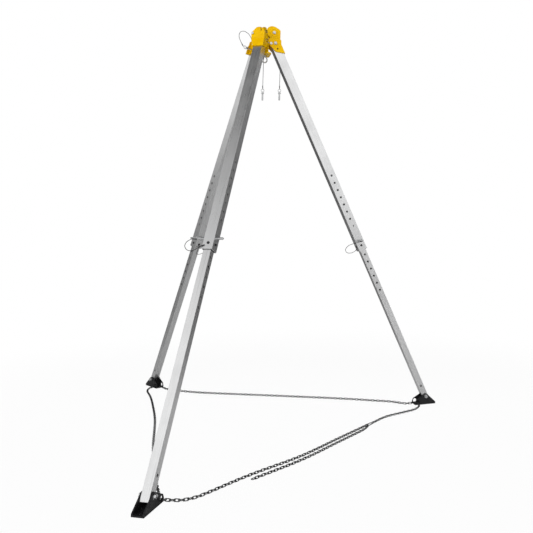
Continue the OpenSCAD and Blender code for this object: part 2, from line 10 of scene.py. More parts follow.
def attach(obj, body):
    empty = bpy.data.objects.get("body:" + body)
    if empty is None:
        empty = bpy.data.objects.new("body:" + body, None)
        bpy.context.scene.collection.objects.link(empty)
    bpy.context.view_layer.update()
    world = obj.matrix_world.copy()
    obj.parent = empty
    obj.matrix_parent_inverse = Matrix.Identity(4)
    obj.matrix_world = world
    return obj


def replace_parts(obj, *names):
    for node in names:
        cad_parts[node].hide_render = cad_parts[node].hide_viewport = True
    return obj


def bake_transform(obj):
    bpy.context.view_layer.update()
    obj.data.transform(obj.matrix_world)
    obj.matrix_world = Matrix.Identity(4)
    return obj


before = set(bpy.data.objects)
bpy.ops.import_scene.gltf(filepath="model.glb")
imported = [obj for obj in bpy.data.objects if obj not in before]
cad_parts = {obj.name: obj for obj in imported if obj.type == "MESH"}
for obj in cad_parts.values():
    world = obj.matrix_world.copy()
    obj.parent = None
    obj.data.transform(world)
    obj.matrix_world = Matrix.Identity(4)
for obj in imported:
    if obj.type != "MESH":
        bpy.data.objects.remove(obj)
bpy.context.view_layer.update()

bl_info = {
    "name": "Rescue tripod looks",
    "version": (1, 0, 0),
    "blender": (4, 5, 0),
    "location": "View3D > Sidebar > Tripod",
    "description": "Finishes, chain, lanyards and stage for a rescue tripod",
    "category": "Object",
}

# The tripod's own frame, as in the part's source: its axis stands off the origin in x
SIDES = {"right": 0.0, "back": 120.0, "front": 240.0}  # azimuths of the legs
LEAN = math.radians(25.3)
LEG_LENGTH = 2.462  # pivot bolt to foot bolt
PIVOT_R = 0.061  # pivot bolts off the axis
ANKLE = 0.050  # foot bolts above the floor
FOOT_OUT = 0.068  # a foot's reach outside its bolt
FOOT_HALF = 0.027  # half the width of a foot
PIVOT_Z = ANKLE + LEG_LENGTH * math.cos(LEAN)
FOOT_R = PIVOT_R + LEG_LENGTH * math.sin(LEAN)
AXIS_X = -((FOOT_R + FOOT_OUT) / 2 - FOOT_HALF * math.sin(math.radians(60))) / 2
CHAIN_IN = 0.058  # chain holes inside the foot bolts
CHAIN_R = FOOT_R - CHAIN_IN
CHAIN_REST = 0.01385  # height of the chain in its holes
CHAIN_FLAT = 8  # height of the chain on the floor, in millimetres
MM = 1000  # millimetres in a metre


# Places

def rows(points):
    """Points as an array of floats, a row for each."""
    return np.atleast_2d(np.asarray(points, float))


def turn(side, points):
    """Points given as (radial, tangential, up) on a side, turned by its azimuth about the axis."""
    p = rows(points)
    a = math.radians(SIDES[side])
    x = AXIS_X + p[:, 0] * math.cos(a) - p[:, 1] * math.sin(a)
    y = p[:, 0] * math.sin(a) + p[:, 1] * math.cos(a)
    return np.stack([x, y, p[:, 2]], axis=1)


def on_leg(side, points):
    """Points in a leg's frame (outward, tangential, up the tube, in millimetres), leaned by LEAN
    and turned."""
    p = rows(points) / MM
    radial = PIVOT_R + p[:, 0] * math.cos(LEAN) - p[:, 2] * math.sin(LEAN)
    up = PIVOT_Z + p[:, 0] * math.sin(LEAN) + p[:, 2] * math.cos(LEAN)
    return turn(side, np.stack([radial, p[:, 1], up], axis=1))


def on_axis(points):
    """Points in millimetres from the tripod's axis and the floor, moved to the part's origin."""
    return rows(points) / MM + [AXIS_X, 0, 0]


def on_bracket(side, points):
    """Points in a bracket's frame (radial, tangential, up from the pivots, in millimetres)."""
    return turn(side, rows(points) / MM + [0, 0, PIVOT_Z])


# Lines and meshes

def smooth_line(points, steps=12):
    """A smooth line through the points, with steps on each span of
    0.5 (2b + (c-a)t + (2a-5b+4c-d)t^2 + (3b-a-3c+d)t^3), and with the ends mirrored."""
    p = np.asarray(points, float)
    q = np.vstack([2 * p[0] - p[1], p, 2 * p[-1] - p[-2]])
    a, b, c, d = (q[i:len(q) - 3 + i, None, :] for i in range(4))
    t = (np.arange(steps) / steps)[None, :, None]
    line = 0.5 * (2 * b + (c - a) * t + (2 * a - 5 * b + 4 * c - d) * t**2
                  + (3 * b - a - 3 * c + d) * t**3)
    return np.vstack([line.reshape(-1, 3), p[-1:]])


def steps_of(line):
    """Distance from each point of a line to the next."""
    return np.linalg.norm(np.diff(line, axis=0), axis=1)


def run_of(line):
    """Distance of each point of a line from its start."""
    return np.concatenate([[0], np.cumsum(steps_of(line))])


def length_of(line):
    """Length of a line of points."""
    return float(steps_of(line).sum())


def along(line, s):
    """Points at the distances s along a line."""
    run = run_of(line)
    return np.stack([np.interp(s, run, line[:, k]) for k in range(3)], axis=1)


def unit(vectors):
    """Vectors scaled to a length of 1."""
    return vectors / np.linalg.norm(vectors, axis=-1, keepdims=True)


def angles(count):
    """Even angles round a circle."""
    return np.arange(count) / count * 2 * np.pi


def hoop(sides, a, b):
    """Circles in the planes of a and b: cos v a + sin v b at even angles v."""
    v = angles(sides)
    return np.cos(v)[:, None] * a[..., None, :] + np.sin(v)[:, None] * b[..., None, :]


def grid_faces(rings, sides, closed):
    """Quads of a grid of rings by sides; the sides wrap round, and the rings too if closed."""
    i = np.arange(rings if closed else rings - 1)[:, None]
    j = np.arange(sides)[None, :]
    a, b = i * sides + j, i * sides + (j + 1) % sides
    up = ((i + 1) % rings) * sides
    return np.stack([a, b, up + (j + 1) % sides, up + j], axis=2).reshape(-1, 4)


def mesh_piece(name, verts, faces, material, uv=None):
    """A smooth shaded mesh object from arrays of vertices and quads, placed at the origin."""
    mesh = bpy.data.meshes.new(name)
    mesh.from_pydata(verts, [], faces)
    mesh.polygons.foreach_set("use_smooth", np.ones(len(faces), bool))
    if uv is not None:
        layer = mesh.uv_layers.new(name="along")
        corner = np.empty(len(mesh.loops), np.int32)
        mesh.loops.foreach_get("vertex_index", corner)
        layer.data.foreach_set("uv", uv[corner].astype(np.float32).ravel())
    mesh.materials.append(material)
    mesh.update()
    piece = bpy.data.objects.new(name, mesh)
    bpy.context.scene.collection.objects.link(piece)
    return piece


def tube(name, line, radius, sides, material):
    """A round wire: centre line + radius (cos v n + sin v b), with b square to the line and to the
    normal of its plane, and n square to the line and to b. Its ends are pinched shut."""
    pinch, nearly_along, any_way = 0.02, 0.97, (0.31, 0.95, 0.05)
    way = unit(np.gradient(line, axis=0))
    flat = np.linalg.svd(line - line.mean(axis=0))[2][2]
    if np.abs(way @ flat).max() > nearly_along:
        flat = np.array(any_way)
    b = unit(np.cross(way, flat))
    n = np.cross(b, way)
    rim = radius * hoop(sides, n, b)
    swell = np.ones(len(line) + 2)
    swell[[0, -1]] = pinch
    full = np.vstack([line[:1], line, line[-1:]])
    rim = np.concatenate([rim[:1], rim, rim[-1:]]) * swell[:, None, None]
    verts = (full[:, None, :] + rim).reshape(-1, 3)
    run = np.concatenate([[0], run_of(line), [length_of(line)]])
    uv = np.stack([np.repeat(run, sides),
                   np.tile(angles(sides) / (2 * np.pi), len(full))], axis=1)
    return mesh_piece(name, verts, grid_faces(len(full), sides, False), material, uv)


def turned(name, profile, place, way, sides, material):
    """A turned piece: (r cos v, r sin v, h) for each profile point (h, r), set on place along
    way."""
    any_way = (0.37, 0.21, 0.91)
    way = unit(np.asarray(way, float))
    side = unit(np.cross(way, any_way))
    other = np.cross(way, side)
    h, r = np.asarray(profile, float).T
    verts = place + h[:, None, None] * way + r[:, None, None] * hoop(sides, side, other)
    faces = grid_faces(len(h), sides, False)
    return mesh_piece(name, verts.reshape(-1, 3), faces, material)


# Materials

MADE = {}  # the finishes by name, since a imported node's own material may have that name in Blender


def scaled(values, k=1.0):
    """A colour times k, with full alpha."""
    return tuple(c * k for c in values[:3]) + (1.0,)


class Graph:
    """Short ways to add nodes to a tree of shader nodes."""

    def __init__(self, tree):
        self.nodes, self.links = tree.nodes, tree.links

    def add(self, kind, inputs=None, **settings):
        node = self.nodes.new("ShaderNode" + kind)
        for key, value in settings.items():
            setattr(node, key, value)
        for key, value in (inputs or {}).items():
            self.feed(node.inputs[key], value)
        return node

    def feed(self, socket, value):
        if isinstance(value, bpy.types.NodeSocket):
            self.links.new(value, socket)
        else:
            socket.default_value = value

    def span(self, value, low, high, to_low=0.0, to_high=1.0, ramp="SMOOTHSTEP"):
        """A value carried from low..high to to_low..to_high, and held there outside."""
        inputs = {"Value": value, "From Min": low, "From Max": high,
                  "To Min": to_low, "To Max": to_high}
        return self.add("MapRange", inputs, interpolation_type=ramp).outputs["Result"]

    def math(self, operation, *values):
        return self.add("Math", dict(enumerate(values)), operation=operation).outputs[0]

    def times(self, a, b):
        return self.math("MULTIPLY", a, b)

    def vector(self, operation, *values):
        return self.add("VectorMath", dict(enumerate(values)), operation=operation).outputs

    def dot(self, a, b):
        return self.vector("DOT_PRODUCT", a, b)["Value"]

    def mix(self, factor, a, b):
        node = self.add("Mix", data_type="RGBA")
        for index, value in ((0, factor), (6, a), (7, b)):  # the sockets that colours use
            self.feed(node.inputs[index], value)
        return node.outputs[2]

    def seen(self, glossy):
        """1 for what the camera sees, also through glass, and for what metal sees where glossy
        is 1."""
        ray = self.add("LightPath").outputs
        clear = self.math("MAXIMUM", ray["Is Camera Ray"], ray["Is Transmission Ray"])
        return self.math("MAXIMUM", clear, self.times(ray["Is Glossy Ray"], glossy))


class Finish(Graph):
    """A material in the making: its nodes, its principled shader and short ways to add nodes."""

    def __init__(self, name):
        self.material = MADE[name] = bpy.data.materials.new(name)
        self.material.use_nodes = True
        super().__init__(self.material.node_tree)
        self.shader = self.nodes["Principled BSDF"]
        self.object = self.add("TexCoord").outputs["Object"]

    def set(self, **values):
        for key, value in values.items():
            self.shader.inputs[key.replace("_", " ")].default_value = value
        return self

    def stretched(self, scale):
        return self.add("Mapping", {"Vector": self.object, "Scale": scale}).outputs[0]

    def noise(self, scale, detail=3.0, vector=None, rough=0.55):
        node = self.add("TexNoise", {"Vector": vector or self.object, "Scale": scale,
                                     "Detail": detail, "Roughness": rough})
        return node.outputs["Fac"]

    def into(self, key, value):
        self.links.new(value, self.shader.inputs[key])
        return self

    def bump(self, height, strength, distance, edge=0.0):
        inputs = {"Height": height, "Strength": strength, "Distance": distance}
        if edge:
            inputs["Normal"] = self.rounded(edge)
        return self.into("Normal", self.add("Bump", inputs).outputs[0])

    def rounded(self, radius):
        return self.add("Bevel", {"Radius": radius}, samples=6).outputs[0]

    def edges(self, radius, low, high):
        """1 on edges, 0 on flats: how far the rounded normal turns from the flat one."""
        flat = self.add("NewGeometry").outputs["True Normal"]
        return self.span(self.dot(self.rounded(radius), flat), high, low)


def yellow_paint(colours):
    """Glossy powder coat: a fine orange peel, slow shade drift, and pale rubbed edges."""
    f = Finish("yellow_paint").set(IOR=1.42, Specular_IOR_Level=0.10)
    base = scaled(colours.paint)
    deep = tuple(c * k for c, k in zip(base, (0.90, 0.84, 0.6, 1.0)))
    rubbed = (0.83, 0.66, 0.32, 1.0)
    drift = f.span(f.noise(14.0), 0.3, 0.72)
    rub = f.times(f.edges(0.0012, 0.90, 0.995), f.span(f.noise(160.0, 5.0), 0.5, 0.62, 0.0, 0.55))
    f.into("Base Color", f.mix(rub, f.mix(drift, deep, base), rubbed))
    f.into("Roughness", f.span(f.noise(90.0, 4.0), 0.25, 0.75, 0.22, 0.40))
    peel = f.noise(520.0, 2.0)
    f.bump(peel, 0.10, 0.0004, edge=0.0014)
    return f.material


def satin_alloy(side, colours, inner):
    """Drawn aluminium: die lines along the tube, cloudy satin, and rubbed lines where it slides."""
    f = Finish("satin_alloy_" + ("inner_" if inner else "outer_") + side).set(Metallic=1.0)
    a = math.radians(SIDES[side])
    ahead, aside = math.cos(a), math.sin(a)
    level, rise = math.cos(LEAN), math.sin(LEAN)
    outward = (ahead * level, aside * level, rise)
    tangent = (-aside, ahead, 0.0)
    down = (ahead * rise, aside * rise, -level)
    pivot = (AXIS_X + PIVOT_R * ahead, PIVOT_R * aside, PIVOT_Z)
    start = f.vector("SUBTRACT", f.object, pivot)["Vector"]
    x, y, s = (f.dot(start, v) for v in (outward, tangent, down))
    stretch = 0.004
    drawn = f.add("CombineXYZ", {"X": x, "Y": y, "Z": f.times(s, stretch)}).outputs[0]
    lines = f.noise(1500.0, 4.0, drawn, 0.7)
    bands = f.noise(260.0, 3.0, drawn, 0.6)
    cloud = f.noise(9.0, 5.0)
    base = scaled(colours.alloy)
    dull = scaled(base, 0.86)
    rubbed = (0.50, 0.50, 0.50, 1.0)
    shade = f.mix(f.span(lines, 0.28, 0.72), dull, base)
    if inner:
        rub = f.times(f.span(bands, 0.56, 0.66, 0.0, 0.35), f.span(s, 1.45, 1.85, 1.0, 0.15))
        shade = f.mix(rub, shade, rubbed)
    f.into("Base Color", f.mix(f.span(cloud, 0.35, 0.7, 0.0, 0.30), shade, dull))
    f.into("Roughness", f.math("ADD", f.span(bands, 0.3, 0.7, 0.26, 0.36),
                               f.span(cloud, 0.3, 0.75, -0.03, 0.07)))
    f.bump(lines, 0.05, 0.0003, edge=0.0012)
    return f.material


def plated_steel(colours):
    """Bright plated steel: nearly mirror, with fine hairlines and faint handling haze."""
    f = Finish("plated_steel").set(Metallic=1.0)
    hair = f.noise(700.0, 4.0, f.stretched((1.0, 1.0, 0.12)))
    haze = f.noise(60.0, 4.0)
    base = scaled(colours.plate)
    f.into("Base Color", f.mix(f.span(haze, 0.35, 0.75, 0.0, 0.5), base, scaled(base, 0.82)))
    f.into("Roughness", f.span(haze, 0.3, 0.75, 0.10, 0.26))
    f.bump(hair, 0.05, 0.0002, edge=0.0007)
    return f.material


def zinc_plate(colours):
    """Dull zinc on the chain: mottled grey, darker in patches, rubbed bright here and there."""
    f = Finish("zinc_plate").set(Metallic=1.0)
    patch = f.noise(70.0, 5.0)
    fine = f.noise(900.0, 3.0)
    base = scaled(colours.zinc)
    pale = tuple(min(1.0, c) for c in scaled(base, 1.7))
    shade = f.mix(f.span(patch, 0.38, 0.66), scaled(base, 0.45), base)
    f.into("Base Color", f.mix(f.span(fine, 0.58, 0.72, 0.0, 0.6), shade, pale))
    f.into("Roughness", f.span(patch, 0.3, 0.7, 0.5, 0.3))
    f.bump(fine, 0.12, 0.0003)
    return f.material


def wire_rope(colours):
    """Laid steel wire: strands wound round the wire, from its own map (length in u, turn in v),
    with painted shade in the grooves between the strands.
    """
    strands, turns_per_metre = 6, 110.0
    f = Finish("wire_rope").set(Metallic=1.0)
    uv = f.add("UVMap", uv_map="along").outputs[0]
    u, v = f.add("SeparateXYZ", {0: uv}).outputs[:2]
    lay = f.math("ADD", f.times(u, turns_per_metre), v)
    strand = f.math("SINE", f.times(lay, strands * 2 * math.pi))
    ridge = f.span(strand, -1.0, 1.0)
    base = scaled(colours.wire)
    # painted shade: the grooves between strands are darkened to a quarter of the wire's colour
    f.into("Base Color", f.mix(ridge, scaled(base, 0.25), base))
    f.into("Roughness", f.span(f.noise(300.0), 0.3, 0.7, 0.28, 0.45))
    f.bump(ridge, 0.5, 0.0004)
    return f.material


def black_finish(name, colour, lift, rough, grain, edge_rub):
    """Black surface, the colour times lift, with a fine grain, uneven gloss, and edges greyed by
    edge_rub."""
    f = Finish(name).set(IOR=1.5, Specular_IOR_Level=0.3)
    base = scaled(colour, lift)
    pale = tuple(c * 1.8 + 0.004 for c in base[:3]) + (1.0,)
    rubbed = (0.26, 0.26, 0.27, 1.0)
    shade = f.mix(f.span(f.noise(35.0, 4.0), 0.35, 0.75), base, pale)
    if edge_rub:
        rub = f.times(f.edges(0.0014, 0.88, 0.995),
                      f.span(f.noise(120.0, 5.0), 0.42, 0.62, 0.0, edge_rub))
        shade = f.mix(rub, shade, rubbed)
    f.into("Base Color", shade)
    f.into("Roughness", f.span(f.noise(80.0, 4.0), 0.3, 0.7, rough - 0.08, rough + 0.12))
    f.bump(f.noise(grain, 3.0), 0.25, 0.0004, edge=0.001)
    return f.material


# What a user would change

class TripodColours(bpy.types.PropertyGroup):
    paint: bpy.props.FloatVectorProperty(
        name="Paint", description="Powder coat of the head",
        subtype="COLOR", size=3, min=0, max=1, default=(0.95, 0.585, 0.0015))
    alloy: bpy.props.FloatVectorProperty(
        name="Leg alloy", description="Aluminium of the legs",
        subtype="COLOR", size=3, min=0, max=1, default=(0.91, 0.912, 0.915))
    plate: bpy.props.FloatVectorProperty(
        name="Plated steel", description="Pins and bolts",
        subtype="COLOR", size=3, min=0, max=1, default=(0.66, 0.665, 0.67))
    zinc: bpy.props.FloatVectorProperty(
        name="Chain", description="Zinc plate of the chain",
        subtype="COLOR", size=3, min=0, max=1, default=(0.13, 0.132, 0.136))
    wire: bpy.props.FloatVectorProperty(
        name="Wire", description="Wire of the lanyards",
        subtype="COLOR", size=3, min=0, max=1, default=(0.06, 0.061, 0.063))
    black: bpy.props.FloatVectorProperty(
        name="Black", description="Feet, plugs, sheaves, screws and ferrules",
        subtype="COLOR", size=3, min=0, max=1, default=(0.009, 0.009, 0.010))
    floor: bpy.props.FloatVectorProperty(
        name="Floor", description="Studio floor",
        subtype="COLOR", size=3, min=0, max=1, default=(0.80, 0.80, 0.80))


class TripodSizes(bpy.types.PropertyGroup):
    link_wire: bpy.props.FloatProperty(
        name="Link wire", description="Diameter of the chain's wire",
        default=0.004, unit="LENGTH")
    link_pitch: bpy.props.FloatProperty(
        name="Link spacing", description="Distance from link to link",
        default=0.018, unit="LENGTH")
    link_width: bpy.props.FloatProperty(
        name="Link width", description="Outside width of a link",
        default=0.015, unit="LENGTH")
    link_gap: bpy.props.FloatProperty(
        name="Link play", description="Play between two links",
        default=0.0024, unit="LENGTH")
    wire: bpy.props.FloatProperty(
        name="Lanyard wire", description="Diameter of the lanyards",
        default=0.003, unit="LENGTH")
    ferrule: bpy.props.FloatProperty(
        name="Ferrule length", description="Crimped sleeve on a lanyard",
        default=0.016, unit="LENGTH")


def colours():
    return bpy.context.scene.tripod_colours


def sizes():
    return bpy.context.scene.tripod_sizes


# Finishes

def dress(material, *names):
    """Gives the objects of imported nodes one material."""
    for name in names:
        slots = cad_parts[name].data.materials
        slots.clear()
        slots.append(material)


class TRIPOD_OT_finishes(bpy.types.Operator):
    """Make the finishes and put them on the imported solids"""
    bl_idname = "tripod.finishes"
    bl_label = "Finishes"

    def execute(self, context):
        c = colours()
        dress(yellow_paint(c), "hub_post", "hub_plate", *("bracket_" + s for s in SIDES))
        bright = plated_steel(c)
        dress(bright, "eye_bolt", "sheave_axle_front", "sheave_axle_right", "head_screws",
              "lock_pin_back", "hang_pin_front", "hang_pin_right")
        nylon = black_finish("sheave_nylon", c.black, 2.2, 0.42, 420.0, 0.0)
        dress(nylon, "sheave_front", "sheave_right")
        plastic = black_finish("plug_plastic", c.black, 1.0, 0.45, 650.0, 0.0)
        screws = black_finish("black_screws", c.black, 1.4, 0.34, 500.0, 0.35)
        powder = black_finish("foot_powder", c.black, 1.0, 0.42, 800.0, 0.3)
        for side in SIDES:
            dress(bright, "leg_bolt_" + side, "leg_pin_" + side, "foot_bolt_" + side)
            dress(satin_alloy(side, c, False), "outer_tube_" + side)
            dress(satin_alloy(side, c, True), "inner_tube_" + side)
            dress(plastic, "top_plug_" + side, "guide_bush_" + side, "slider_" + side)
            dress(screws, "bush_screws_" + side)
            dress(powder, "foot_" + side)
        zinc_plate(c)
        wire_rope(c)
        return {"FINISHED"}


# Chain

CHAIN_PLAN = {  # the foot a stretch starts at, the one it ends at, and 1 for an odd number of links
    "back": ("right", "back", 1),
    "left": ("front", "back", 0),
    "front": (None, "front", 0),
    "close": (None, "right", 0),
    "tail": (None, None, 0),
}
FOLLOWS = (("foot_", 0.06), ("inner_leg_", 0.24), ("outer_leg_", 0.52))  # up to so far from a foot
ROOM_TIED, ROOM_FREE = 1.8, 1.3  # a shorter stretch, tied or free at its start, shrinks FOLLOWS
HEAD_SHARE = 0.25  # part of a free stretch that lies still with the head
RING_ENDS = [(597.6, -321.1, CHAIN_FLAT), (636.4, -292.9, CHAIN_FLAT)]
RING_INNER, RING_WIDTH, RING_WIRE, RING_SIDES = 0.048, 0.024, 0.005, 8


def by_foot(side, *points):
    """Points given in millimetres as u inside a foot's chain holes, y along their line and the
    height, which is that of the holes' rest where it is left out."""
    places = [(CHAIN_R - u / MM, y / MM, z[0] / MM if z else CHAIN_REST) for u, y, *z in points]
    return list(turn(side, places))


def on_floor(*points):
    """Points from the axis in millimetres as x, y and the height, or else CHAIN_FLAT."""
    return list(on_axis([(x, y, z[0] if z else CHAIN_FLAT) for x, y, *z in points]))


def chain_routes():
    """The routes of the chain's stretches, as in the part's source."""
    return {
        "back": by_foot("right", (3.7, -14), (24, -14), (48, -10, 11.5), (84, 8, 8.5))
        + on_floor((908, 70), (811, 126), (622, 232), (330, 376), (30, 520), (-171, 616),
                   (-300, 686))
        + by_foot("back", (190, -28, 8), (120, -4, 8), (70, 0, 9.5), (40, -1, 12), (20, -1),
                  (3.7, -1)),
        "left": by_foot("front", (3.4, -1), (24, -5), (50, -16, 11.6), (84, -38, 8.8),
                        (120, -64, 8))
        + on_floor((-531, -640), (-541, -450), (-545, -250), (-542, 130), (-558, 440), (-576, 650))
        + by_foot("back", (80, 126, 8), (34, 100, 9.5), (11, 72, 12.4), (1.5, 42), (0, 20),
                  (0, -10)),
        "front": on_floor((597.5, -316), (500, -385), (360, -484), (129, -648), (-131, -786))
        + by_foot("front", (104, 172, 8), (56, 142, 8), (18, 105, 11), (2, 56), (0, 24), (0, -10)),
        "tail": on_floor((602, -323), (587, -347), (562, -374), (526, -404), (360, -524),
                         (129, -690), (-131, -836)),
        "close": on_floor((637, -293), (660, -276), (760, -208), (900, -160), (975, -134),
                          (1020, -104, 10), (1046, -66, 12))
        + by_foot("right", (0, -24), (0, -10)),
    }


def link_loop(inner, width, wire, steps=14):
    """Centre line of a link, two straights joined by half rounds, and its outward normals, in the
    link's plane."""
    half = inner / 2 - (width / 2 - wire)
    r = (width - wire) / 2
    v = (np.arange(steps) + 0.5) / steps * 2 * np.pi
    side = np.where(np.cos(v) > 0, 1.0, -1.0)
    line = np.stack([side * half + r * np.cos(v), r * np.sin(v), 0 * v], axis=1)
    out = np.stack([np.cos(v), np.sin(v), 0 * v], axis=1)
    return line, out


def links(name, ends, first, inner, width, wire, material, sides=5):
    """Chain links between consecutive ends: each is the loop's wire, line + wire/2 (cos v out +
    sin v z), laid along its chord and turned a quarter turn from link to link. The first one stands
    upright where first is even, and lies flat where it is odd."""
    line, out = link_loop(inner, width, wire)
    z = np.array([0.0, 0.0, 1.0])
    one = (line[:, None, :] + wire / 2 * hoop(sides, out, z)).reshape(-1, 3)
    way = unit(np.diff(ends, axis=0))
    flat = unit(np.cross(z, way))
    up = np.cross(way, flat)
    upright = ((np.arange(len(way)) + first) % 2 == 0)[:, None]
    axes = np.stack([way, np.where(upright, up, flat), np.where(upright, -flat, up)], axis=1)
    middle = (ends[:-1] + ends[1:]) / 2
    verts = middle[:, None, :] + np.einsum("vk,nkd->nvd", one, axes)
    first_verts = np.arange(len(way)) * len(one)
    faces = grid_faces(len(line), sides, True)[None] + first_verts[:, None, None]
    return mesh_piece(name, verts.reshape(-1, 3), faces.reshape(-1, 4), material)


def link_ends(route, pitch, odd):
    """The joints between links, spaced evenly near the pitch, and their distances on the route."""
    line = smooth_line(route)
    total = length_of(line)
    count = int(2 * round((total / pitch - odd) / 2) + odd)
    s = np.linspace(0, total, count + 1)
    return along(line, s), s


class TRIPOD_OT_chain(bpy.types.Operator):
    """Build the link chain in lengths that follow the feet, the legs and the head"""
    bl_idname = "tripod.chain"
    bl_label = "Chain"

    def execute(self, context):
        z = sizes()
        zinc = MADE["zinc_plate"]
        routes = chain_routes()
        for stretch, (start, end, odd) in CHAIN_PLAN.items():
            ends, s = link_ends(routes[stretch], z.link_pitch, odd)
            self.lay(stretch, ends, s, self.stops(start, end, s[-1]), z, zinc)
        ring = links("chain_ring_bent", on_axis(RING_ENDS), 1, RING_INNER, RING_WIDTH, RING_WIRE,
                     zinc, RING_SIDES)
        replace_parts(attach(ring, "head"), "chain_ring")
        return {"FINISHED"}

    def stops(self, start, end, total):
        """The bodies that a stretch follows in turn, and how far along it reaches each."""
        shrink = min(1.0, total / (ROOM_TIED if start else ROOM_FREE))
        near = [(body, at * shrink) for body, at in FOLLOWS]
        still = total / 2 if start else (total - near[-1][1]) * HEAD_SHARE
        stops = [(body + start, at) for body, at in near] if start else []
        stops.append(("head", still if end else total))
        if end:
            stops += [(body + end, total - at) for body, at in near[::-1]]
        return stops

    def lay(self, stretch, ends, s, stops, z, zinc):
        """Cuts a stretch where the body it follows changes; a length that lies between two bodies
        is attached to neither and keeps its place, baked into its vertices."""
        pieces = []
        size = (z.link_pitch + z.link_gap, z.link_width, z.link_wire, zinc)
        marks = [0.0] + [at for _, at in stops] + [s[-1]]
        cuts = [int(round(m / s[-1] * (len(s) - 1))) for m in marks]
        for k, (lo, hi) in enumerate(zip(cuts[:-1], cuts[1:])):
            if hi <= lo:
                continue
            piece = links(f"chain_{stretch}_{k}", ends[lo:hi + 1], lo, *size)
            before, after = stops[max(k - 1, 0)][0], stops[min(k, len(stops) - 1)][0]
            if before == after:
                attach(piece, before)
            else:
                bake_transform(piece)
            pieces.append(piece)
        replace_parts(pieces[0], "chain_" + stretch)


# Lanyards

LANYARDS = {  # each wire's route, as in the part's source, and the bodies at its two ends
    "head_wire_front": (
        on_axis([(0, 26, 2202), (0, 26, 2150), (0, 26, 2070), (0, 26, 1994)]),
        "head", "head"),
    "head_wire_right": (
        on_axis([(108, 35, 2244), (108, 37, 2226), (108, 38, 2200), (108, 38, 2100),
                 (108, 38, 2008)]),
        "head", "head"),
    "head_wire_back": (
        on_bracket("back", [(76, 104, -31), (77, 124, -6), (78, 138, 26), (78, 128, 56),
                            (77, 96, 68), (76, 62, 56), (76, 44, 32), (76, 35, 12)])[::-1],
        "head", "lock_pin_back"),
    "leg_wire_right": (
        on_leg("right", [(0, -78, -1350.8), (-34, -70, -1346), (-84, -52, -1342),
                         (-112, -40, -1358), (-108, -34, -1382), (-80, -28, -1396),
                         (-48, -20, -1396), (-28.8, -12, -1390)])[::-1],
        "outer_leg_right", "leg_pin_right"),
    "leg_wire_back": (
        on_leg("back", [(0, -78, -1350.8), (-30, -76, -1362), (-62, -52, -1390),
                        (-74, -8, -1424), (-64, 24, -1432), (-46, 10, -1408),
                        (-28.8, -12, -1390)])[::-1],
        "outer_leg_back", "leg_pin_back"),
    "leg_wire_front": (
        on_leg("front", [(0, -78, -1350.8), (10, -80, -1353), (16, -98, -1358),
                         (18, -118, -1374), (18, -122, -1396), (18, -106, -1416),
                         (20, -80, -1422), (26, -54, -1414), (31, -34, -1403),
                         (28.8, -14, -1392)])[::-1],
        "outer_leg_front", "leg_pin_front"),
}
WIRE_STEPS, WIRE_SIDES = 16, 10
FERRULE_START = 0.004  # from the wire's end
FERRULE_RINGS, FERRULE_SIDES = 15, 14


class TRIPOD_OT_lanyards(bpy.types.Operator):
    """Build the wire lanyards with their crimped ferrules"""
    bl_idname = "tripod.lanyards"
    bl_label = "Lanyards"

    def execute(self, context):
        z = sizes()
        for name, (route, first, last) in LANYARDS.items():
            line = smooth_line(route, WIRE_STEPS)
            piece = tube(name + "_laid", line, z.wire / 2, WIRE_SIDES, MADE["wire_rope"])
            if first == last:
                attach(piece, first)
            else:
                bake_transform(piece)
            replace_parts(piece, name)
            self.ferrule(name + "_ferrule_0", line, z, first)
            self.ferrule(name + "_ferrule_1", line[::-1], z, last)
        return {"FINISHED"}

    def ferrule(self, name, line, z, body):
        """A crimped sleeve near the start of the line: a turned barrel, in wire radii, with two
        pressed waists."""
        full, lip, bore, press, waist = 1.9, 1.7, 0.9, 0.35, 0.08
        a, b = along(line, np.array([FERRULE_START, FERRULE_START + z.ferrule]))
        r = z.wire / 2
        h = np.linspace(0, 1, FERRULE_RINGS)
        dents = sum(np.exp(-((h - middle) / waist) ** 2) for middle in (0.32, 0.68))
        barrel = np.stack([h * z.ferrule, r * (full - press * dents)], axis=1)
        profile = np.vstack([[0, r * bore], [0, r * lip], barrel[1:-1],
                             [z.ferrule, r * lip], [z.ferrule, r * bore]])
        piece = turned(name, profile, a, b - a, FERRULE_SIDES, MADE["black_screws"])
        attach(piece, body)


# Stage

def level_way(azimuth):
    """The level direction at an azimuth in degrees."""
    a = math.radians(azimuth)
    return (math.cos(a), math.sin(a), 0.0)


REAR = level_way(70)  # away from the camera
FRONT_LEFT = level_way(235)  # where the bright wall stands
LEFT = level_way(165)  # where that wall is dim near the floor
REAR_EDGE = (0.92, 0.98)  # cosines to REAR, between which metal comes to see the white background
FLOOR_R, FLOOR_RINGS, FLOOR_SIDES, FLOOR_POWER = 60.0, 24, 64, 3
FLOOR_Z = -0.0004
LAMPS = (  # name, place, aim, size and watts
    ("key", (-3.4, -4.0, 3.4), (-0.2, 0.0, 1.2), 3.6, 110.0),
    ("fill", (3.0, -3.4, 1.8), (-0.2, 0.0, 1.0), 2.6, 35.0),
    ("rear", (1.6, 4.2, 2.6), (-0.2, 0.0, 1.6), 2.6, 50.0),
)
CAMERA_PLACE = (-0.545684 + AXIS_X, -3.3968425, 1.0635465)
CAMERA_ANGLES = (20.153712, -5.1293615, 0.76918)  # turn, tip and roll in degrees
CAMERA_LENS, CAMERA_SENSOR = 37.507, 36.0
CAMERA_SHIFT = (-0.1905, -0.1436)


